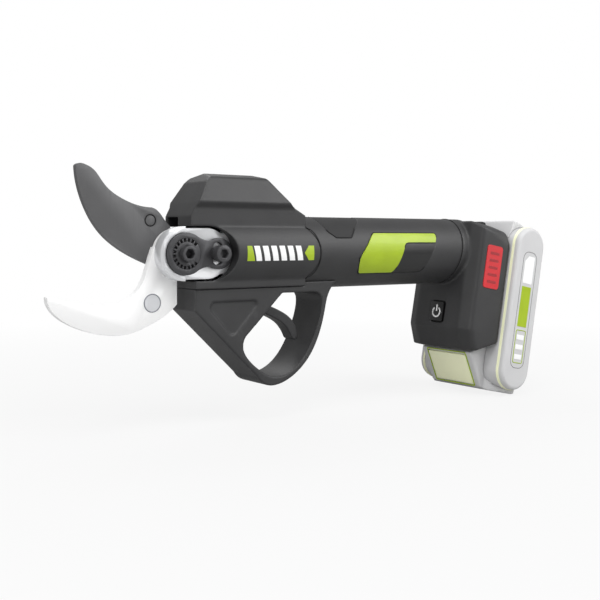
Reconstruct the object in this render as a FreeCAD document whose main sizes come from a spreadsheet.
import FreeCAD, Part
import math
import os
import re
import Sketcher
from fcgear import fcgear, involute

# Battery electric pruner: a bypass cutting head driven by a bevel sector,
# a two-stage planetary gearbox and a brushless motor in a round barrel handle,
# a finger guard with its trigger, and a tilted foot that carries a slide-on battery.
#
# Tool frame: the blade pivot is the origin of every outline, X runs back along the
# barrel, Y away from the hook side and Z up.  Foot frame: the same, tilted about Y,
# with its origin on the front face of the foot at the power button.

V = FreeCAD.Vector

DIMENSIONS = [
    ("pivot_x", -86.92, "pivot axis to the middle of the overall length"),
    ("pivot_z", 88.73, "pivot axis above the lowest point of the battery"),
    ("foot_x", 183.2, "button face of the foot behind the pivot"),
    ("foot_z", -37.6, "button height against the pivot"),
    ("foot_tilt", 11, "lean of the foot and battery, degrees"),
    ("blade_thick", 3.5, "moving blade plate"),
    ("hook_thick", 4.9, "fixed hook plate"),
    ("slide_gap", 0.1, "between the two blades"),
    ("bolt_radius", 5, "pivot bolt shank"),
    ("run_fit", 0.05, "radial running clearance"),
    ("bush_radius", 7, "outside of the pivot bush"),
    ("ring_radius", 13.7, "raised ring round the pivot"),
    ("ring_face", 12.3, "ring face from the mid plane"),
    ("cheek_half", 12.9, "half height of the near cheek"),
    ("cheek_face", 11.5, "near cheek face from the mid plane"),
    ("cheek_end", 25.5, "rear end of the exposed near cheek"),
    ("lock_x", 17.6, "lock screw behind the pivot"),
    ("lock_plate_thick", 2.4, "keyhole lock plate"),
    ("barrel_radius", 20, "outside of the barrel"),
    ("wall", 2.3, "moulded wall"),
    ("slab_half", 14.5, "half width of the flat-sided gear housing"),
    ("guard_half", 13, "half width of the trigger guard"),
    ("seam_x", 72, "rear seam of the gear housing"),
    ("seam_bulge", 6.3, "how far that seam bows back"),
    ("barrel_end", 185, "ring seam between the barrel and the foot"),
    ("bevel_module", 1.1, "bevel gear module at the outer end"),
    ("bevel_teeth", 56, "full tooth count of the sector's circle"),
    ("pinion_teeth", 12, "bevel pinion teeth"),
    ("bevel_inner", 23.5, "small end of the bevel teeth from the pivot"),
    ("gear_module", 0.5, "planetary gear module"),
    ("sun_teeth", 12, "sun gears"),
    ("planet_teeth", 24, "planet gears"),
    ("ring_teeth", 60, "ring gear"),
    ("planet_wide", 6, "face width of the planets"),
    ("ring_outer", 17.2, "outside radius of the ring gear"),
    ("shaft_radius", 4, "bevel pinion shaft"),
    ("bearing_outer", 11, "output bearing outside radius"),
    ("motor_radius", 17, "motor can"),
    ("rotor_radius", 9.4, "magnet rotor"),
    ("trigger_half", 4.5, "half width of the trigger lever"),
    ("trigger_pin_x", 41, "trigger pin behind the pivot"),
    ("trigger_pin_z", -28, "trigger pin against the pivot"),
    ("foot_half", 31, "half width of the foot"),
    ("foot_depth", 24.7, "foot from its front to its rear face"),
    ("pack_half", 36.5, "half width of the battery"),
    ("pack_front", 25.3, "front of the battery capsule in the foot frame"),
    ("pack_deep", 24, "thickness of the battery capsule"),
    ("pack_low", -41, "lower end of the battery capsule"),
    ("pack_high", 60, "upper end of the battery capsule"),
    ("cell_radius", 9.1, "battery cell"),
    ("cell_long", 65, "battery cell length"),
]

doc = FreeCAD.newDocument("battery_electric_pruner")
sheet = doc.addObject("Spreadsheet::Sheet", "Dimensions")
for row, (alias, value, note) in enumerate(DIMENSIONS, start=1):
    sheet.set(f"A{row}", note)
    sheet.set(f"B{row}", str(value))
    sheet.setAlias(f"B{row}", alias)
doc.recompute()


class Sizes:
    """The sheet's values, read by name."""

    def __getattr__(self, alias):
        return float(sheet.get(alias))


D = Sizes()
pieces = []


# ---------------------------------------------------------------- helpers

def formula(text):
    """Sheet aliases in text become references to the sheet."""
    return re.sub(r"[a-z_]{3,}", lambda word: "Dimensions." + word.group(0), str(text))


def value_of(text):
    """The number that a formula stands for."""
    if not isinstance(text, str):
        return float(text)
    total = 0.0
    for sign, term in re.findall(r"([+-]?)\s*([a-z_]+|[0-9.]+)", text):
        number = getattr(D, term) if term[0].isalpha() else float(term)
        total += -number if sign == "-" else number
    return total


def place(thing, frame):
    """Put an object in the tool frame or in the foot frame."""
    if frame == "foot":
        thing.Placement = FreeCAD.Placement(V(), FreeCAD.Rotation(V(0, 1, 0), 1))
        thing.setExpression("Placement.Rotation.Angle", "Dimensions.foot_tilt")
        thing.setExpression("Placement.Base.x", "Dimensions.pivot_x + Dimensions.foot_x")
        thing.setExpression("Placement.Base.z", "Dimensions.pivot_z + Dimensions.foot_z")
    else:
        thing.setExpression("Placement.Base.x", "Dimensions.pivot_x")
        thing.setExpression("Placement.Base.z", "Dimensions.pivot_z")


def line(start, end):
    return Part.LineSegment(V(*start, 0), V(*end, 0))


def arc(start, middle, end):
    return Part.Arc(V(*start, 0), V(*middle, 0), V(*end, 0))


def curve(*points):
    spline = Part.BSplineCurve()
    spline.interpolate([V(x, y, 0) for x, y in points])
    return spline


def disc(x, y, radius):
    return [Part.Circle(V(x, y, 0), V(0, 0, 1), radius)]


def chain(*stops):
    """A closed outline: points, with a list of points where a smooth curve passes them."""
    edges = []
    here = stops[0]
    for stop in stops[1:] + (stops[0],):
        if isinstance(stop, list):
            edges.append(curve(here, *stop))
            here = stop[-1]
        elif math.dist(here, stop) > 1e-6:
            edges.append(line(here, stop))
            here = stop
    return edges


def rounded(*corners):
    """A closed polygon; a corner (x, y, r) is rounded to the radius r."""
    starts, ends, middles = [], [], []
    count = len(corners)
    for index, corner in enumerate(corners):
        point = V(corner[0], corner[1], 0)
        before = V(*corners[index - 1][:2], 0) - point
        after = V(*corners[(index + 1) % count][:2], 0) - point
        radius = corner[2] if len(corner) > 2 else 0.0
        if not radius:
            starts.append(point)
            ends.append(point)
            middles.append(None)
            continue
        half = before.getAngle(after) / 2
        reach = radius / math.tan(half)
        inward = (before.normalize() + after.normalize()).normalize()
        starts.append(point + before * reach)
        ends.append(point + after * reach)
        middles.append(point + inward * (radius / math.sin(half) - radius))
    edges = []
    for index in range(count):
        if middles[index]:
            edges.append(Part.Arc(starts[index], middles[index], ends[index]))
        follow = starts[(index + 1) % count]
        if ends[index].distanceToPoint(follow) > 1e-6:
            edges.append(Part.LineSegment(ends[index], follow))
    return edges


def box(x_low, x_high, y_low, y_high, radius=0.0):
    return rounded((x_low, y_low, radius), (x_high, y_low, radius),
                   (x_high, y_high, radius), (x_low, y_high, radius))


def slot(x_low, x_high, y, half):
    """A stadium along the sketch's first axis; x_low and x_high are its arc centres."""
    return [line((x_low, y - half), (x_high, y - half)),
            arc((x_high, y - half), (x_high + half, y), (x_high, y + half)),
            line((x_high, y + half), (x_low, y + half)),
            arc((x_low, y + half), (x_low - half, y), (x_low, y - half))]


class Piece:
    """One sub-part as a PartDesign body.

    The planes are XZ (material between two Y values), XY (between two Z values)
    and YZ (between two X values).
    """

    def __init__(self, label, frame="tool"):
        self.body = doc.addObject("PartDesign::Body", label)
        self.body.Label = label
        place(self.body, frame)
        pieces.append(self.body)

    def sketch(self, plane, edges, along):
        origin = next(f for f in self.body.Origin.OriginFeatures if f.Role == plane + "_Plane")
        outline = self.body.newObject("Sketcher::SketchObject", self.body.Label + "_outline")
        outline.AttachmentSupport = (origin, "")
        outline.MapMode = "FlatFace"
        outline.setExpression("AttachmentOffset.Base.z", along)
        outline.addGeometry(edges, False)
        return outline

    def bind_circle(self, outline, radius):
        if isinstance(radius, str):
            number = outline.addConstraint(Sketcher.Constraint("Radius", 0, value_of(radius)))
            outline.renameConstraint(number, "radius")
            outline.setExpression("Constraints.radius", formula(radius))

    def pad(self, plane, edges, low, high, radius=None):
        """Material of that outline from low to high along the plane's own axis."""
        start = f"-({formula(high)})" if plane == "XZ" else formula(low)
        outline = self.sketch(plane, edges, start)
        self.bind_circle(outline, radius)
        feature = self.body.newObject("PartDesign::Pad", self.body.Label + "_pad")
        feature.Profile = outline
        feature.setExpression("Length", f"({formula(high)}) - ({formula(low)})")
        doc.recompute()
        return feature

    def cut(self, plane, edges, low, high, radius=None):
        """Take that outline away from low to high, and make sure that it cut something."""
        before = self.body.Shape.Volume
        start = f"-({formula(low)})" if plane == "XZ" else formula(high)
        outline = self.sketch(plane, edges, start)
        self.bind_circle(outline, radius)
        feature = self.body.newObject("PartDesign::Pocket", self.body.Label + "_cut")
        feature.Profile = outline
        feature.setExpression("Length", f"({formula(high)}) - ({formula(low)})")
        doc.recompute()
        if not self.body.Shape.Volume < before - 1e-3:
            raise RuntimeError(f"{feature.Name} cuts nothing")
        return feature

    def loft(self, plane, first, low, last, high):
        """Straight-sided material between two outlines on parallel planes."""
        outlines = [self.sketch(plane, first, str(low)), self.sketch(plane, last, str(high))]
        feature = self.body.newObject("PartDesign::AdditiveLoft", self.body.Label + "_loft")
        feature.Profile = outlines[0]
        feature.Sections = outlines[1:]
        feature.Ruled = True
        doc.recompute()
        return feature

    def rod(self, plane, x, y, radius, low, high):
        return self.pad(plane, disc(x, y, value_of(radius)), low, high, radius)

    def hole(self, plane, x, y, radius, low, high):
        return self.cut(plane, disc(x, y, value_of(radius)), low, high, radius)

    def repeat(self, feature, axis, count, total):
        """Copies of a feature round the body's X, Y or Z axis, over a total angle."""
        origin = next(f for f in self.body.Origin.OriginFeatures if f.Role == axis + "_Axis")
        pattern = self.body.newObject("PartDesign::PolarPattern", self.body.Label + "_pattern")
        pattern.Originals = [feature]
        pattern.Axis = (origin, [""])
        pattern.Angle = total
        pattern.Occurrences = count
        self.body.Tip = pattern
        doc.recompute()
        return pattern

    def dress(self, kind, size, wanted):
        """A fillet or chamfer on the edges whose middle point is wanted."""
        base = self.body.Tip
        names = []
        for number, edge in enumerate(self.body.Shape.Edges, start=1):
            middle = edge.valueAt((edge.FirstParameter + edge.LastParameter) / 2)
            if wanted(self.body.Placement.inverse().multVec(middle), edge):
                names.append(f"Edge{number}")
        if not names:
            raise RuntimeError(f"{self.body.Label}: no edge to dress")
        feature = self.body.newObject("PartDesign::" + kind, self.body.Label + "_" + kind.lower())
        feature.Base = (base, names)
        setattr(feature, "Radius" if kind == "Fillet" else "Size", size)
        doc.recompute()
        return feature


def solid(label, shape):
    """A sub-part whose shape comes from Part functions; it keeps the shape's own placement."""
    feature = doc.addObject("Part::Feature", label)
    feature.Label = label
    feature.Shape = shape
    own = feature.Placement.Base
    feature.setExpression("Placement.Base.x", f"Dimensions.pivot_x + {own.x:.6f}")
    feature.setExpression("Placement.Base.z", f"Dimensions.pivot_z + {own.z:.6f}")
    pieces.append(feature)


# ---------------------------------------------------------------- cutting head

HOOK_FACE = "-slide_gap-hook_thick"
PLATE_FACE = "-cheek_face-lock_plate_thick"
DOWELS = [(12, -8.5), (12, 8.5)]
TOOTH_STEP = 360 / D.bevel_teeth
SECTOR_TEETH = 12
SECTOR_TURN = 1.5 * TOOTH_STEP
PIN_RING = 9.2


def hexagon(x, y, across):
    corner = across / math.sqrt(3)
    turns = [math.radians(60 * step) for step in range(6)]
    return rounded(*[(x + corner * math.cos(a), y + corner * math.sin(a)) for a in turns])


def fixed_hook_blade():
    hook = Piece("fixed_hook_blade")
    inner = [(-64.6, -20.4), (-54.7, -23), (-43.7, -24.7), (-36.5, -25.2), (-31.8, -24.3),
             (-27.1, -22.1), (-20.6, -15.6), (-16.4, -5.5), (-13.4, 3.4)]
    outer = [(-4.2, -28.6), (-13.8, -34.4), (-27.1, -39), (-40, -38.9), (-54.7, -34.3),
             (-63.8, -28.4), (-67.4, -23), (-67.8, -19.6)]
    hook.pad("XZ", chain((-67.8, -19.6), inner, (-2, 3.4), (-0.9, -12), (-0.9, -25.6), outer),
             HOOK_FACE, "-slide_gap")
    hook.pad("XZ", slot(0, 6, 0, 12.8), HOOK_FACE, "-slide_gap")
    hook.hole("XZ", 0, 0, "bolt_radius+run_fit", HOOK_FACE, 0)
    for x, z in DOWELS:
        hook.hole("XZ", x, z, 2, HOOK_FACE, 0)


def head_frame():
    """The metal head: near cheek with the raised ring, far cheek, and the bearing block."""
    radius = D.ring_radius
    half = D.cheek_half
    turn = D.cheek_end - half
    frame = Piece("head_frame")
    ring = [arc((0, -radius), (-radius, 0), (0, radius)), line((0, radius), (0, -radius))]
    frame.pad("XZ", ring, "-ring_face", HOOK_FACE)
    cheek = [line((0, -half), (turn, -half)), arc((turn, -half), (turn + half, 0), (turn, half)),
             line((turn, half), (0, half)), line((0, half), (0, -half))]
    frame.pad("XZ", cheek, "-cheek_face", HOOK_FACE)
    frame.cut("XZ", box(20.5, 30, -14, 14), -9.2, -4)
    frame.pad("XZ", box(18, 36, -10.5, 10.5), "-cheek_face", -9.2)
    frame.rod("YZ", 0, 0, 16.5, 33.5, 47)
    frame.rod("XZ", 0, 0, 9.8, 11.8, 14.8)
    frame.pad("XZ", box(0, 36, -8.5, 8.5), 11.8, 14.8)
    frame.hole("YZ", 0, 0, 9, 33, 48)
    frame.hole("YZ", 0, 0, "bearing_outer", 35.5, 42.5)
    frame.hole("XZ", 0, 0, 10.9, "-ring_face", "-cheek_face")
    frame.hole("XZ", 0, 0, "bolt_radius+run_fit", -13, -4)
    frame.hole("XZ", 0, 0, "bolt_radius+run_fit", 11, 16)
    frame.hole("XZ", D.lock_x, 0, 2.55, -13, -4)
    for x, z in DOWELS:
        frame.hole("XZ", x, z, 2, -9, -4)


def dowel_pins():
    """The hook's two dowels and the trigger's pin, all of one diameter."""
    dowels = Piece("dowel_pins")
    dowels.body.AllowCompound = True
    for x, z in DOWELS:
        dowels.rod("XZ", x, z, 2, -8.8, -0.4)
    dowels.rod("XZ", D.trigger_pin_x, D.trigger_pin_z, 2, -11.4, 11.4)


def pivot_bolt():
    bolt = Piece("pivot_bolt")
    bolt.rod("XZ", 0, 0, "bolt_radius", "-cheek_face", 14.8)
    bolt.rod("XZ", 0, 0, 4, -17.4, "-cheek_face")
    bolt.rod("XZ", 0, 0, 8, 14.8, 18.2)
    bolt.cut("XZ", hexagon(0, 0, 4.6), -17.4, -13)
    bolt.dress("Fillet", 1.2, lambda middle, edge: middle.y > 18.1)


def toothed_nut():
    """Adjusting nut: its notches take the teeth of the lock plate."""
    nut = Piece("toothed_nut")
    nut.rod("XZ", 0, 0, 7.75, PLATE_FACE, "-cheek_face")
    nut.hole("XZ", 0, 0, 4.05, PLATE_FACE, "-cheek_face")
    low, high, half = 6.0, 8.2, 0.66
    c = math.cos(math.radians(-45))
    s = math.sin(math.radians(-45))
    corners = [(low, -half), (high, -half * 1.25), (high, half * 1.25), (low, half)]
    notch = rounded(*[(x * c - z * s, x * s + z * c) for x, z in corners])
    first = nut.cut("XZ", notch, PLATE_FACE, "-cheek_face")
    nut.repeat(first, "Y", 16, 270)


def lock_plate():
    plate = Piece("lock_plate")
    big, small, lobe = 10.65, 8, 18.4
    join, reach = 6.5, 15.5
    high = math.sqrt(big ** 2 - join ** 2)
    low = math.sqrt(small ** 2 - (lobe - reach) ** 2)
    outline = [arc((join, high), (-big, 0), (join, -high)),
               curve((join, -high), (9.6, -7.1), (12.6, -6.7), (reach, -low)),
               arc((reach, -low), (lobe + small, 0), (reach, low)),
               curve((reach, low), (12.6, 6.7), (9.6, 7.1), (join, high))]
    plate.pad("XZ", outline, PLATE_FACE, "-cheek_face")
    plate.hole("XZ", 0, 0, 7.8, PLATE_FACE, "-cheek_face")
    half, rise, x = 2.75, 3.05, D.lock_x
    kidney = [line((x + half, -rise), (x + half, rise)),
              arc((x + half, rise), (x, rise + half), (x - half, rise)),
              line((x - half, rise), (x - half, -rise)),
              arc((x - half, -rise), (x, -rise - half), (x + half, -rise))]
    plate.cut("XZ", kidney, PLATE_FACE, "-cheek_face")


def lock_washer():
    washer = Piece("lock_washer")
    washer.rod("XZ", D.lock_x, 0, 4, "-cheek_face-lock_plate_thick-1.7", PLATE_FACE)
    washer.hole("XZ", D.lock_x, 0, 2.55, "-cheek_face-lock_plate_thick-1.7", PLATE_FACE)


def lock_screw():
    screw = Piece("lock_screw")
    seat = "-cheek_face-lock_plate_thick-1.7"
    screw.rod("XZ", D.lock_x, 0, 4.25, seat + "-5", seat)
    screw.rod("XZ", D.lock_x, 0, 2.5, seat, -6)
    screw.cut("XZ", hexagon(D.lock_x, 0, 4.2), seat + "-5", seat + "-2.2")


def pin_spots(turn):
    angles = [math.radians(60 + 120 * step + turn) for step in range(3)]
    return [(PIN_RING * math.cos(a), PIN_RING * math.sin(a)) for a in angles]


def moving_blade():
    blade = Piece("moving_blade")
    back = [(-51, 43.6), (-47, 43.2), (-43.2, 41.1), (-38.8, 35.6), (-34.5, 31.1), (-29.6, 28),
            (-23.5, 25.3), (-17.3, 23.7), (-12.6, 23.3)]
    shoulder = [(-9.1, 21.6), (-6, 18), (-2.6, 14.3)]
    cutting = [(-22.2, -1.9), (-30.8, 3), (-38.5, 9.3), (-44.4, 17.1), (-49, 26.9),
               (-51.3, 35), (-52.2, 42.6)]
    outline = chain((-52.2, 42.6), back, shoulder, (0, 8), (-8, -8), (-15.2, -5), cutting)
    blade.pad("XZ", outline, 0, "blade_thick")
    blade.rod("XZ", 0, 0, 13, 0, "blade_thick")
    blade.hole("XZ", 0, 0, "bush_radius", 0, "blade_thick")
    blade.hole("XZ", -13.3, 16.8, 2.8, 0, "blade_thick")
    for x, z in pin_spots(SECTOR_TURN):
        blade.hole("XZ", x, z, 1.5, 0.8, 4)


def blade_plug():
    plug = Piece("blade_plug")
    plug.rod("XZ", -13.3, 16.8, 2.7, 0, "blade_thick")


def pivot_bush():
    bush = Piece("pivot_bush")
    bush.rod("XZ", 0, 0, "bush_radius", 0.2, 11.2)
    bush.hole("XZ", 0, 0, "bolt_radius+run_fit", 0.2, 11.2)


def turned_with_sector(body):
    body.Placement = FreeCAD.Placement(V(), FreeCAD.Rotation(V(0, 1, 0), -1))
    body.setExpression("Placement.Rotation.Angle", "-1.5 * 360 / Dimensions.bevel_teeth")
    body.setExpression("Placement.Base.x", "Dimensions.pivot_x")
    body.setExpression("Placement.Base.z", "Dimensions.pivot_z")


def bevel_sector():
    """Part of a bevel gear whose teeth taper towards the pivot."""
    sector = Piece("bevel_sector")
    turned_with_sector(sector.body)
    web_low, web_high, rim = 8.1, 10.5, 31.5
    sector.rod("XZ", 0, 0, 11.5, "blade_thick", 8.4)
    sector.rod("XZ", 0, 0, 11, 8.4, 11.4)
    start = math.radians(4)
    end = math.radians(-(SECTOR_TEETH - 1) * TOOTH_STEP - 4)
    middle = (start + end) / 2
    points = [(rim * math.cos(a), rim * math.sin(a)) for a in (start, middle, end)]
    fan = [line((0, 0), points[0]), arc(*points), line(points[2], (0, 0))]
    sector.pad("XZ", fan, web_low, web_high)
    sections = []
    stations = (D.bevel_inner, rim)
    for x in stations:
        module = D.bevel_module * x / (D.bevel_module * D.bevel_teeth / 2)
        pitch = x * D.pinion_teeth / D.bevel_teeth
        half = math.pi * module / 4 - 0.09
        slope = math.tan(math.radians(20))
        tip = half - module * slope
        root = half + (web_low + 0.2 - pitch) * slope
        sections.append(rounded((pitch - module, -tip), (web_low + 0.2, -root),
                                (web_low + 0.2, root), (pitch - module, tip)))
    tooth = sector.loft("YZ", sections[0], stations[0], sections[1], stations[1])
    sector.repeat(tooth, "Y", SECTOR_TEETH, (SECTOR_TEETH - 1) * TOOTH_STEP)
    sector.hole("XZ", 0, 0, "bush_radius", "blade_thick", 12)
    for x, z in pin_spots(0):
        sector.hole("XZ", x, z, 1.5, "blade_thick", 9)


def sector_pins():
    pins = Piece("sector_pins")
    turned_with_sector(pins.body)
    pins.body.AllowCompound = True
    for x, z in pin_spots(0):
        pins.rod("XZ", x, z, 1.5, 0.8, 9)


# ---------------------------------------------------------------- drive train along the barrel

PLANET_RING = D.gear_module * (D.sun_teeth + D.planet_teeth) / 2
PLANETS = 3


def upright(shape, low, turn=0.0):
    """Turn a shape made along Z so that it lies along X from low."""
    shape.rotate(V(), V(0, 0, 1), turn)
    shape.rotate(V(), V(0, 1, 0), 90)
    shape.translate(V(low, 0, 0))
    return shape


def spur_wire(module, teeth, internal=False, shift=-0.06):
    outline = fcgear.FCWireBuilder()
    if internal:
        involute.CreateInternalGear(outline, module, teeth, 20, True)
    else:
        involute.CreateExternalGear(outline, module, teeth, 20, True, shiftCoeff=shift)
    return Part.Wire([edge.toShape() for edge in outline.wire])


def spur(teeth, wide, low, bore=None, turn=0.0):
    gear = Part.Face(spur_wire(D.gear_module, int(teeth))).extrude(V(0, 0, wide))
    if bore:
        gear = gear.cut(Part.makeCylinder(bore, wide))
    return upright(gear, low, turn)


def rod_x(radius, low, high, y=0.0, z=0.0):
    return Part.makeCylinder(radius, high - low, V(low, y, z), V(1, 0, 0))


def bevel_pinion():
    small = D.bevel_inner
    big = D.bevel_module * D.bevel_teeth / 2
    wires = []
    for x in (small, big):
        wire = spur_wire(D.bevel_module * x / big, int(D.pinion_teeth), shift=-0.08)
        wires.append(upright(wire, x))
    gear = Part.makeLoft(wires, True, True)
    shape = gear.fuse([rod_x(5.1, big - 0.5, 35.4), rod_x(D.shaft_radius, 35, 51)])
    solid("bevel_pinion", shape.removeSplitter())


def output_bearing():
    low, high = 35.6, 42.4
    outer = rod_x(D.bearing_outer, low, high).cut(rod_x(9.2, low, high))
    inner = rod_x(5.6, low, high).cut(rod_x(D.shaft_radius + 0.02, low, high))
    balls = []
    for step in range(9):
        angle = math.radians(40 * step)
        spot = V((low + high) / 2, 7.4 * math.cos(angle), 7.4 * math.sin(angle))
        balls.append(Part.makeSphere(1.75, spot))
    solid("output_bearing", Part.makeCompound([outer, inner] + balls))


def planet_centres():
    turns = [2 * math.pi * step / PLANETS for step in range(PLANETS)]
    return [(PLANET_RING * math.cos(a), PLANET_RING * math.sin(a)) for a in turns]


def carrier(label, disc_low, bore=None):
    disc_high = disc_low + 2.8
    shape = rod_x(12.6, disc_low, disc_high)
    for y, z in planet_centres():
        shape = shape.fuse(rod_x(1.5, disc_low, disc_high + D.planet_wide + 0.7, y, z))
    if bore:
        shape = shape.cut(rod_x(bore, disc_low - 1, disc_high + 1))
    solid(label, shape)


def planets(stage, low):
    for index, (y, z) in enumerate(planet_centres()):
        gear = spur(D.planet_teeth, D.planet_wide, low, bore=1.55, turn=180 / D.planet_teeth)
        gear.rotate(V(), V(1, 0, 0), index * 360 / PLANETS)
        gear.translate(V(0, y, z))
        solid(f"{stage}_planet_{index + 1}", gear)


def gearbox():
    carrier("output_carrier", 48.2, bore=D.shaft_radius)
    planets("output", 51.4)
    solid("output_sun", spur(D.sun_teeth, 6.4, 51.8))
    carrier("input_carrier", 58.2)
    planets("input", 61.4)
    hollow = Part.Face(spur_wire(D.gear_module, int(D.ring_teeth), internal=True))
    ring = rod_x(D.ring_outer, 47, 69.5)
    solid("ring_gear", ring.cut(upright(hollow.extrude(V(0, 0, 24)), 46.5)))


def motor():
    can = Piece("motor_can")
    can.rod("YZ", 0, 0, "motor_radius", 69.5, 118)
    can.hole("YZ", 0, 0, 15.6, 74, 118)
    can.hole("YZ", 0, 0, 5.5, 69.5, 74)
    cap = Piece("motor_end_cap")
    cap.rod("YZ", 0, 0, "motor_radius", 118, 121)
    cap.hole("YZ", 0, 0, 5.5, 118, 121)
    stator = Piece("motor_stator")
    stator.rod("YZ", 0, 0, 15.6, 78, 112)
    stator.hole("YZ", 0, 0, "rotor_radius+0.5", 78, 112)
    for step in range(6):
        angle = math.radians(60 * step + 30)
        spot = (12.6 * math.cos(angle), 12.6 * math.sin(angle))
        stator.hole("YZ", *spot, 1.9, 78, 112)
    coils = Piece("motor_windings")
    coils.body.AllowCompound = True
    for low in (75.2, 112):
        coils.pad("YZ", disc(0, 0, 14.8) + disc(0, 0, 10.4), low, low + 2.8)
    coils.dress("Fillet", 0.9, lambda middle, edge: edge.Length > 20)
    magnets = Piece("rotor_magnets")
    magnets.rod("YZ", 0, 0, "rotor_radius", 79, 111)
    magnets.hole("YZ", 0, 0, 1.5, 79, 111)
    shaft = Piece("motor_shaft")
    shaft.rod("YZ", 0, 0, 1.5, 61.6, 120.6)
    bearings = Piece("motor_bearings")
    bearings.body.AllowCompound = True
    for low in (72, 118):
        bearings.pad("YZ", disc(0, 0, 5.5) + disc(0, 0, 1.52), low, low + 2)
    solid("motor_pinion", spur(D.sun_teeth, 6.4, 61.6, bore=1.5))


# ---------------------------------------------------------------- moulded housing

SIDES = (("left", -1), ("right", 1))
HOOD_SCREWS = [(22, 35.2), (45, 35.2)]
GUARD_SCREWS = [(50, -67.6), (86, -22.9)]
HOOD_SCREW_DEPTH = 11.5


def span(side, near, far):
    """The Y interval between two distances from the mid plane, on the left or the right."""
    return (-far, -near) if side < 0 else (near, far)


def half_ring(side, outer, inner):
    """Half of a tube's section in the YZ plane, on one side of the mid plane."""
    edges = [arc((0, -outer), (side * outer, 0), (0, outer)), line((0, outer), (0, inner))]
    if inner:
        edges += [arc((0, inner), (side * inner, 0), (0, -inner))]
    return edges + [line((0, -inner), (0, -outer))]


def seam_region(x_far, grow=0.0):
    """The outline between the bowed housing seam and x_far."""
    x = D.seam_x + grow
    bulge = D.seam_x + D.seam_bulge + grow
    return [line((x_far, -26), (x, -26)), line((x, -26), (x, -13.4)),
            arc((x, -13.4), (bulge, 0), (x, 13.4)), line((x, 13.4), (x, 26)),
            line((x, 26), (x_far, 26)), line((x_far, 26), (x_far, -26))]


def screw_holes(piece, side, x, z, depth, thread):
    """A housing screw's holes: threaded in the left half, counterbored in the right."""
    if side > 0:
        piece.hole("XZ", x, z, thread + 0.1, 0, depth + 4)
        piece.hole("XZ", x, z, 1.8 * thread, depth - 3, depth + 4)
    else:
        piece.hole("XZ", x, z, thread, -8, 0)


def gear_housing(name, side):
    """Half of the gear housing: flat-sided slab, round barrel section and bevelled hood."""
    wall = D.wall
    half = D.slab_half
    front, top = 2, 41.6
    shell = Piece(f"gear_housing_{name}")
    low, high = span(side, 0, half)
    shell.pad("XZ", chain((front, 13.8), (front, 23.2), (75, 23.2), (75, -18), (5, -18),
                          (5, -13.8), (20, -13.8), (20, 13.8)), low, high)
    section = [(0, 22.5), (half, 22.5), (half, 23.4), (half + 2.1, 26.2, 1.2),
               (half - 2.9, 39.4, 2.5), (0, top)]
    shell.pad("YZ", rounded(*[(side * p[0],) + p[1:] for p in section]), front, 75)
    shell.pad("YZ", half_ring(side, D.barrel_radius, 0), 14, 82)
    shell.cut("XZ", rounded((-6, 19), (front, 19), (5.6, 26), (12, 36.8), (17.5, top + 0.5),
                            (17.5, 50), (-6, 50)), -20, 20)
    shell.cut("XZ", rounded((46.5, top + 0.5), (62.3, 25.4, 12), (72, 20.1), (90, 20.1),
                            (90, 50), (46.5, 50)), -20, 20)
    shell.cut("XZ", seam_region(95), -21, 21)
    near = span(side, 5 if side < 0 else 4, 22)
    if side < 0:
        shell.cut("XZ", slot(0, 12.6, 0, 13.9), *near)
    else:
        shell.cut("XZ", slot(0, 10.5, 0, 10.4), *near)
        shell.cut("XZ", box(12, 36.4, -8.7, 8.7), 11.7, 15)
    nose_step = [(4.8, 13.6), (-4, 13.6)] if side < 0 else [(-4, 17)]
    slab = rounded((-4, -13.8), (5.1, -13.8), (6.2, -14.2), (6.2, -21), (34, -21), (34, -17.7),
                   (58, -18.3), (58, -15.7), (80, -15.7), (80, 18), (66, 19.6, 8), (59, 23.6),
                   (57, 25.4), (8, 25.3), (4.8, 19.2), *nose_step)
    shell.cut("XZ", slab, *span(side, 0, half - wall))
    hood = rounded((8, 25), (18.6, 38.2, 3), (45, 38.2, 4), (58, 25))
    shell.cut("XZ", hood, *span(side, 0, half - 5.3))
    inner = [(0, 22), (half - wall - 0.1, 22), (half - 0.6, 26.3), (half - 5.2, 38.2), (0, 38.6)]
    shell.cut("YZ", rounded(*[(side * y, z) for y, z in inner]), 14.5, 45)
    nose = [(0, 22), (half - wall - 0.1, 22), (half - 1.4, 26.3), (half - 2.6, 30), (0, 30)]
    shell.cut("YZ", rounded(*[(side * y, z) for y, z in nose]), 10.2, 15)
    shell.cut("YZ", half_ring(side, D.barrel_radius - wall, 0), 28.8, 82)
    for x, z in HOOD_SCREWS:
        shell.rod("XZ", x, z, 3.9, *span(side, 0, HOOD_SCREW_DEPTH - 1))
        screw_holes(shell, side, x, z, HOOD_SCREW_DEPTH, 1.5)


def guard_outline():
    strap = [(49.5, -70.2), (57.4, -69.6), (66.4, -65.3), (75.9, -56.4), (82.4, -44.6),
             (86.3, -31.6), (88.4, -23.6), (91.6, -18.4), (97, -14.2)]
    return chain((72.2, -18), (5, -18), (5, -29), (42.5, -65.2), strap, (72.2, -14.2))


def loop_outline():
    """The finger loop, as a closed smooth opening with a straight slanted front edge."""
    lower = [(34.2, -45.2), (33.6, -49.6), (36.4, -55), (45.4, -62.6), (51, -65.4), (57, -65.9),
             (65.5, -62.5), (74.4, -53.2), (80.4, -41.5), (83.8, -30.5), (83.6, -24.6), (80, -21.6)]
    return chain((58, -21.4), (37.2, -41.6), lower)


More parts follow.
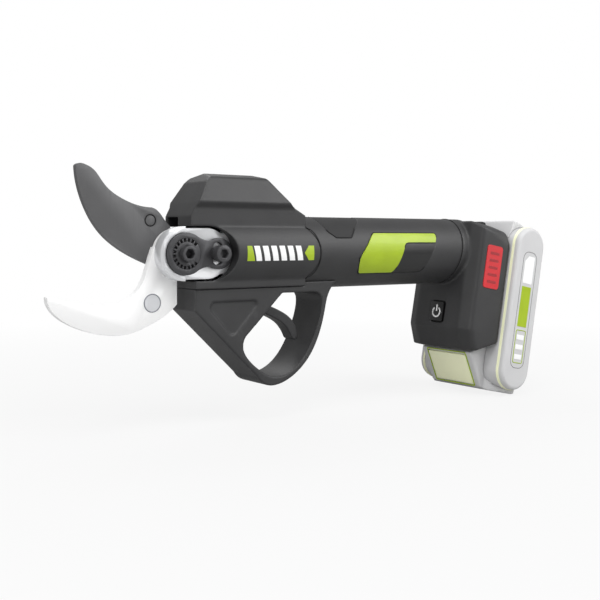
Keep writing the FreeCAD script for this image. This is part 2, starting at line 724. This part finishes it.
def trigger_guard(name, side):
    """Half of the guard frame: the switch box in front and the loop round the fingers."""
    guard = Piece(f"trigger_guard_{name}")
    low, high = span(side, 0, D.guard_half)
    guard.pad("XZ", guard_outline(), low, high)
    guard.cut("XZ", loop_outline(), low, high)
    guard.cut("YZ", disc(0, 0, D.barrel_radius + 0.02), 14, 100)
    low, high = span(side, 0, D.guard_half - 2)
    guard.cut("XZ", rounded((7.4, -17), (7.4, -28.2), (31, -50.6), (31.2, -44, 3), (52.5, -23.6),
                            (34, -23.6), (34, -17)), low, high)
    low, high = span(side, 0, D.trigger_half + 0.7)
    guard.cut("XZ", rounded((34, -22.4), (48, -21.6), (62, -21.6), (62, -34), (46, -44), (34, -38)),
              low, high)
    low, high = span(side, D.guard_half - 1, D.guard_half + 1)
    guard.cut("XZ", rounded((10.2, -24.6, 3), (45, -24.6, 2.2), (27.2, -43.4, 3)), low, high)
    low, high = span(side, 0, 11.6)
    guard.hole("XZ", D.trigger_pin_x, D.trigger_pin_z, 2.02, low, high)
    for x, z in GUARD_SCREWS:
        screw_holes(guard, side, x, z, D.guard_half, 1.1)


def housing_screws():
    screws = Piece("housing_screws")
    screws.body.AllowCompound = True
    for spots, reach, thread in ((HOOD_SCREWS, HOOD_SCREW_DEPTH, 1.5),
                                 (GUARD_SCREWS, D.guard_half, 1.1)):
        for x, z in spots:
            screws.rod("XZ", x, z, thread, -7.8, reach - 3)
            screws.rod("XZ", x, z, 1.7 * thread, reach - 3, reach - 1)
            screws.cut("XZ", hexagon(x, z, 1.5 * thread), reach - 2, reach)


def inlay_outline():
    return rounded((116.9, 11, 2.5), (166.2, 11, 1.5), (154.2, -12, 5), (106.3, -12, 2),
                   (105.2, -3.4, 2.5))


def grip_split(*lower_right):
    """Outline of the dark panel in the inlay; lower_right closes it on that side."""
    return rounded((131, -12), (133.6, -9.6, 3), (139.6, 5.2, 3.5), *lower_right)


def pad_outline():
    return rounded((81, 22), (85.5, 11.5, 3), (90, 8.2, 2), (100.6, 8.2, 2), (104.4, 12.6, 3), (118, 22))


def barrel_end_region():
    slope = math.tan(math.radians(D.foot_tilt))
    x = D.barrel_end
    return chain((x - 26 * slope, -26), (230, -26), (230, 26), (x + 26 * slope, 26))


def handle_shell(name, side):
    """Half of the barrel handle, with the pockets for its inlays and thumb pad."""
    outer = D.barrel_radius
    skin = outer - 1
    shell = Piece(f"handle_shell_{name}")
    low, high = span(side, 0, outer + 1)
    shell.pad("YZ", half_ring(side, outer, skin), 68, 195)
    shell.cut("XZ", inlay_outline(), *span(side, 12, outer + 1))
    shell.cut("XZ", pad_outline(), low, high)
    shell.pad("YZ", half_ring(side, skin + 0.02, outer - D.wall), 68, 195)
    region = seam_region(60, grow=0.02)
    shell.cut("XZ", region, low, high)
    shell.cut("XZ", barrel_end_region(), low, high)


def curved_skin(label, outline, inner, outer):
    """Pieces of the barrel's skin between two radii, the same on both sides."""
    skin = Piece(label)
    skin.body.AllowCompound = True
    for name, side in SIDES:
        skin.pad("XZ", outline, *span(side, 10, outer + 2))
    skin.cut("YZ", disc(0, 0, 40) + disc(0, 0, outer), 90, 180)
    skin.cut("YZ", disc(0, 0, inner), 90, 180)
    return skin


def grip_trim():
    outer = D.barrel_radius
    lime = curved_skin("lime_inlays", inlay_outline(), outer - 0.98, outer + 0.15)
    curved_skin("grip_panels", grip_split((163.17, 5.2), (154.2, -12, 5)), outer - 0.98, outer + 0.05)
    for name, side in SIDES:
        lime.cut("XZ", grip_split((170, 5.2), (170, -12)), *span(side, 8, outer + 3))


def thumb_pad():
    outer = D.barrel_radius
    pad = Piece("thumb_pad")
    pad.pad("XZ", pad_outline(), -outer - 2, outer + 2)
    pad.cut("YZ", disc(0, 0, 60) + disc(0, 0, outer - 0.15), 70, 130)
    pad.cut("YZ", disc(0, 0, outer - 0.98), 70, 130)


# ---------------------------------------------------------------- foot

def construction(label, frame="tool"):
    """A body that is only used to build another piece."""
    helper = Piece(label, frame)
    pieces.remove(helper.body)
    return helper


def joined(label, bodies):
    fuse = doc.addObject("Part::MultiFuse", label)
    fuse.Shapes = bodies
    return fuse


def difference(label, base, tool):
    """A sub-part made by taking one construction object out of another."""
    result = doc.addObject("Part::Cut", label)
    result.Label = label
    result.Base = base
    result.Tool = tool
    doc.recompute()
    pieces.append(result)
    return result


def foot_neck(label, side, radius, x_end):
    """The barrel's continuation behind the tilted ring seam."""
    neck = construction(label)
    neck.pad("YZ", half_ring(side, radius, 0), 172, x_end)
    slope = math.tan(math.radians(D.foot_tilt))
    x = D.barrel_end + 0.02
    neck.cut("XZ", chain((150, -26), (x - 26 * slope, -26), (x + 26 * slope, 26), (150, 26)),
             *span(side, 0, radius + 2))
    return neck.body


def foot_plan(side, front, corner):
    """Half of the foot's outline from above, with its front face and its front corner set back."""
    return rounded((front, 0), (front, side * 18.5, 4), (corner, side * 27.5, 3),
                   (D.foot_depth, side * D.foot_half, 1.5), (D.foot_depth, 0))


def foot_shell(name, side):
    """Half of the foot: it carries on from the barrel and holds the dock and the button."""
    half = D.foot_half
    depth = D.foot_depth
    wall = D.wall
    block = construction(f"foot_block_{name}", "foot")
    block.pad("XY", foot_plan(side, 0, 3.5), -9, 57.6)
    block.loft("XY", foot_plan(side, 0, 3.5), -9, foot_plan(side, 8.8, 10), -24)
    low, high = span(side, 0, half + 2)
    block.cut("XZ", chain((-3, -22.2), (7.6, -22.2), (depth + 2, -13.4), (depth + 2, -30), (-3, -30)),
              low, high)
    block.cut("XZ", rounded((6, 62), (6, 57.7), (18, 57.5), (22.5, 54.5, 4), (depth, 47),
                            (depth + 2, 44), (depth + 2, 62)), low, high)
    crown = [(18, 57.7), (half - 3, 54, 4), (half, 45), (half + 3, 45), (half + 3, 62), (18, 62)]
    block.cut("YZ", rounded(*[(side * p[0],) + p[1:] for p in crown]), -1, depth + 1)
    outer = joined(f"foot_outside_{name}", [block.body, foot_neck(f"foot_neck_{name}", side, 20, 200)])
    room = construction(f"foot_room_{name}", "foot")
    inside = [(wall, 0), (wall, 17, 3), (5.8, 25, 2), (depth - wall, half - wall - 0.6), (depth - wall, 0)]
    room.pad("XY", rounded(*[(p[0], side * p[1]) + p[2:] for p in inside]), -9, 46)
    low, high = span(side, 0, 22.1)
    room.pad("XZ", box(12.4, depth + 2, -28, 48.2), low, high)
    low, high = span(side, 0, 5.7)
    room.pad("XZ", box(-3, 4, -6.35, 6.35), low, high)
    bore = foot_neck(f"foot_bore_{name}", side, 17.7, 196)
    difference(f"foot_shell_{name}", outer, joined(f"foot_inside_{name}", [room.body, bore]))


def battery_dock():
    """Block in the foot with the T-slot that the battery's rails slide into."""
    dock = Piece("battery_dock", "foot")
    dock.pad("XY", box(12.5, 24.6, -22, 22), -16, 48)
    dock.cut("XY", box(19.1, 26, -14.4, 14.4), -20, 44.2)
    dock.cut("XY", box(15.1, 19.2, -18.3, 18.3), -20, 44.2)
    dock.cut("XZ", chain((10, -30), (26, -30), (26, -12.9), (10, -19.2)), -23, 23)


def dock_terminals():
    blades = Piece("dock_terminals", "foot")
    blades.body.AllowCompound = True
    for y in (-8, 0, 8):
        blades.pad("XY", box(16.6, 21.6, y - 0.4, y + 0.4), 30, 44.2)


def power_button():
    button = Piece("power_button", "foot")
    button.pad("YZ", box(-5.4, 5.4, -6, 6, 0.9), -0.6, 2.2)
    button.pad("YZ", box(-7.2, 7.2, -7.8, 7.8, 0.9), 2.4, 3.4)
    button.rod("YZ", 0, 0, 2, 2.2, 4.6)


def display_lens():
    """Low black wedge on top of the foot."""
    lens = Piece("display_lens", "foot")
    lens.pad("XZ", rounded((9.5, 57.62), (22.6, 57.62), (24.2, 58.4, 0.6), (24, 61.2, 0.8),
                           (20.6, 61.3, 2), (9.5, 58.9)), -8, 8)


def trigger():
    lever = Piece("trigger")
    half = D.trigger_half
    x, z = D.trigger_pin_x, D.trigger_pin_z
    blade = chain((x - 2, z + 4.4), (46, -24.4), [(55.2, -28.6), (63.6, -32.4), (69, -36.1), (72.4, -40.8),
                  (73.8, -46.4)], [(72.4, -48), (69.9, -47.2)],
                  [(67.4, -42.6), (64.4, -39.2), (59.4, -36), (51, -32.2)], (44, -31.6), (x - 2, z - 4.6))
    lever.pad("XZ", blade, -half, half)
    lever.rod("XZ", x, z, 5, -half, half)
    lever.pad("XZ", rounded((x, z + 3), (x - 4, z + 1, 2), (28.5, -34.4, 1), (30.5, -36.6, 1),
                            (x, z - 4.5)), -half, 2.5)
    lever.hole("XZ", x, z, 2.05, -half, half)


def trigger_spring():
    turns = 3
    coil = Part.makeHelix(1.1, 1.1 * turns, 3.2)
    section = Part.Wire(Part.makeCircle(0.45, V(3.2, 0, 0), V(0, 1, 0)))
    spring = Part.Wire(coil.Edges).makePipeShell([section], True, True)
    spring.rotate(V(), V(1, 0, 0), -90)
    spring.translate(V(D.trigger_pin_x, 6, D.trigger_pin_z))
    solid("trigger_spring", spring)


def micro_switches():
    """The trigger's switch and the power button's switch."""
    switches = Piece("micro_switches")
    switches.body.AllowCompound = True
    switches.pad("XZ", box(24.6, 30.8, -43.4, -40), -4, 4)
    switches.pad("XZ", box(27.6, 29.6, -40, -39.2), -1.5, 1.5)
    switches.pad("YZ", box(-4, 4, D.foot_z - 4, D.foot_z + 4), D.foot_x + 6.6, D.foot_x + 10)


def electronics():
    board = Piece("control_board")
    board.pad("XY", box(126, 178, -15, 15, 1.5), -7.6, -6)
    parts = Piece("board_parts")
    parts.body.AllowCompound = True
    parts.pad("XY", box(130, 150, -11, 11), -6, -3)
    for step in range(5):
        y = -10 + 4.6 * step
        parts.pad("XY", box(130, 150, y, y + 1.4), -3, 4)
    parts.rod("YZ", 0, 1, 6, 154, 176)


# ---------------------------------------------------------------- battery

def capsule(inset=0.0):
    """The battery's side outline in the foot frame: a stadium standing on end."""
    x_low = D.pack_front + inset
    x_high = D.pack_front + D.pack_deep - inset
    radius = (x_high - x_low) / 2
    middle = (x_low + x_high) / 2
    low = D.pack_low + inset + radius
    high = D.pack_high - inset - radius
    return [line((x_high, low), (x_high, high)), arc((x_high, high), (middle, high + radius), (x_low, high)),
            line((x_low, high), (x_low, low)), arc((x_low, low), (middle, low - radius), (x_high, low))]


def battery_rear_case():
    case = Piece("battery_rear_case", "foot")
    case.pad("XZ", capsule(), -31.5, 31.5)
    case.cut("XZ", capsule(2), -31.5, 31.5)


def battery_sides():
    half = D.pack_half
    rims = Piece("battery_rims", "foot")
    rims.body.AllowCompound = True
    caps = Piece("battery_caps", "foot")
    caps.body.AllowCompound = True
    for name, side in SIDES:
        rims.pad("XZ", capsule(-0.4), *span(side, 31.5, 33.2))
        caps.pad("XZ", capsule(), *span(side, 33.2, half))
    caps.dress("Fillet", 2.2, lambda middle, edge: abs(abs(middle.y) - half) < 0.01)
    rims.cut("XZ", capsule(2), -33.2, 33.2)
    caps.cut("XZ", capsule(2.5), -34.6, 34.6)


CHIN_TOP = (11.6, -22.6)
CHIN_LOW = (24.6, -42.4)


def battery_front_case():
    """Rails, the block behind the foot and the chin below it."""
    case = Piece("battery_front_case", "foot")
    front = D.pack_front
    case.pad("XY", box(15.6, 18.8, -17.8, 17.8), -13, 43.4)
    case.pad("XY", box(18.5, front + 1, -13.9, 13.9), -13, 43.4)
    face = front - 0.4
    case.pad("XZ", rounded((face, -16), (face, 50), (28.7, 64, 1.5), (42, 60.2, 1), (42, -16)), -27.5, 27.5)
    case.pad("XZ", rounded((CHIN_TOP[0], CHIN_TOP[1]), (CHIN_LOW[0], CHIN_LOW[1], 3), (29, -43.6, 3),
                           (44, -43.8, 1.5), (44, -30), (front + 3, -30), (front + 3, -12.6),
                           (face, -15)), -31.5, 31.5)
    corner = [(6, 21.5), (27, 21.5), (36, 31.6), (36, 36), (6, 36)]
    for side in (-1, 1):
        case.cut("XY", rounded(*[(x, side * y) for x, y in corner]), -46, -12)
    case.cut("XZ", capsule(), -34, 34)
    case.cut("XZ", rounded((17, -24.5), (25, -21), (25, -36, 2), (24, -36)), -15.5, 15.5)
    case.cut("XZ", button_outline(0.35, 2.6), -16.7, 16.7)
    for y in (-8, 0, 8):
        case.cut("XY", box(15, 23, y - 0.9, y + 0.9), 28, 44)


def button_outline(grow=0.0, travel=0.0):
    """Side outline of the release button in the chin's slanted front, or of its pocket."""
    start, end = V(*CHIN_TOP, 0), V(*CHIN_LOW, 0)
    along = (end - start).normalize()
    out = V(along.y, -along.x, 0)
    low = start + along * (2.2 - grow)
    high = end - along * (1.4 - grow)
    inward = -3.4 - travel
    outward = 0.35 + 3 * grow
    corners = [low + out * outward, high + out * outward, high + out * inward, low + out * inward]
    return rounded(*[(c.x, c.y) for c in corners])


def release_button():
    button = Piece("release_button", "foot")
    button.pad("XZ", button_outline(), -16.3, 16.3)


def battery_cells():
    cells = Piece("battery_cells", "foot")
    cells.body.AllowCompound = True
    middle = D.pack_front + D.pack_deep / 2
    first = D.pack_low + D.pack_deep / 2 + 2.6
    for step in range(5):
        cells.rod("XZ", middle, first + 18.6 * step, "cell_radius", -D.cell_long / 2, D.cell_long / 2)


# ---------------------------------------------------------------- build and write

def build():
    for make in (fixed_hook_blade, head_frame, dowel_pins, pivot_bolt, toothed_nut, lock_plate,
                 lock_washer, lock_screw, moving_blade, blade_plug, pivot_bush, bevel_sector,
                 sector_pins, bevel_pinion, output_bearing, gearbox, motor):
        make()
    for name, side in SIDES:
        for make in (gear_housing, trigger_guard, handle_shell, foot_shell):
            make(name, side)
    for make in (housing_screws, grip_trim, thumb_pad, battery_dock, dock_terminals, power_button,
                 display_lens, trigger, trigger_spring, micro_switches, electronics,
                 battery_rear_case, battery_sides, battery_front_case, release_button, battery_cells):
        make()
    doc.recompute()


def check():
    """Stop on any failed feature and on any sub-part without a sound shape."""
    for thing in doc.Objects:
        if any(word in thing.State for word in ("Invalid", "Error")):
            raise RuntimeError(f"{thing.Name} failed: {thing.State}")
    for piece in pieces:
        if piece.Shape.isNull() or not piece.Shape.isValid():
            raise RuntimeError(f"{piece.Label} has no valid shape")


def write():
    os.makedirs("parts", exist_ok=True)
    for piece in pieces:
        piece.Shape.exportStep(os.path.join("parts", piece.Label + ".step"))
    print(len(pieces), "sub-parts")


build()
check()
write()
